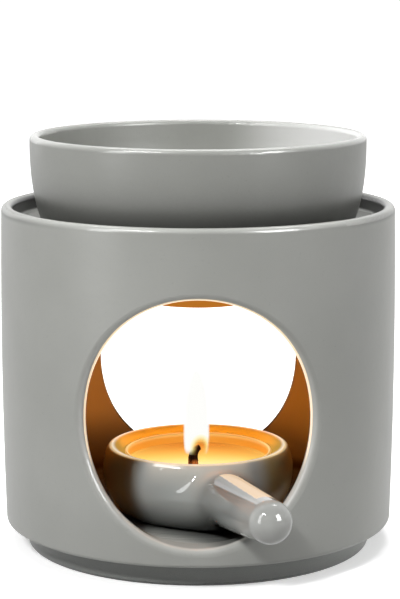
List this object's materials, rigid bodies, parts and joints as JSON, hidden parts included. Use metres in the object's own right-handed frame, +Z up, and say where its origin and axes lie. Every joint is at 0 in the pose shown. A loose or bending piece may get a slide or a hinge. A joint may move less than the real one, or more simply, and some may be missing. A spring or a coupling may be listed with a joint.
{
  "type": "essential oil burner",
  "caption": "Round ceramic oil burner with a lift-off dish on top and a handled tealight pot that slides out through the front opening.",
  "frame": {"origin": "middle of the foot, on the table", "axes": "+Z up; the front opening and the pot's handle face -Y; +X is to the right seen from the front"},
  "size_m": [0.104, 0.1295, 0.1087],
  "materials": {
    "body_glaze": "satin glaze, warm grey",
    "dish_glaze": "satin glaze, warm grey",
    "pot_glaze": "gloss glaze, warm grey",
    "cup_metal": "bright pressed sheet",
    "candle_wax": null,
    "wick_cotton": "charred cotton cord",
    "sustainer_metal": "tinned steel"
  },
  "bodies": {
    "burner": {"burner_body": "body_glaze"},
    "dish": {"oil_dish": "dish_glaze"},
    "holder": {"candle_holder": "pot_glaze"},
    "tealight": {"tealight_cup": "cup_metal", "wax": "candle_wax", "wick": "wick_cotton", "wick_sustainer": "sustainer_metal"}
  },
  "joints": [
    {"name": "dish_lift", "type": "slide", "parent": "burner", "child": "dish", "axis": [0, 0, 1], "range_m": [0, 0.05]},
    {"name": "holder_pull", "type": "slide", "parent": "burner", "child": "holder", "axis": [0, -0.9063, 0.4226], "range_m": [0, 0.1]},
    {"name": "tealight_lift", "type": "slide", "parent": "holder", "child": "tealight", "axis": [0, 0, 1], "range_m": [0, 0.0155]}
  ]
}
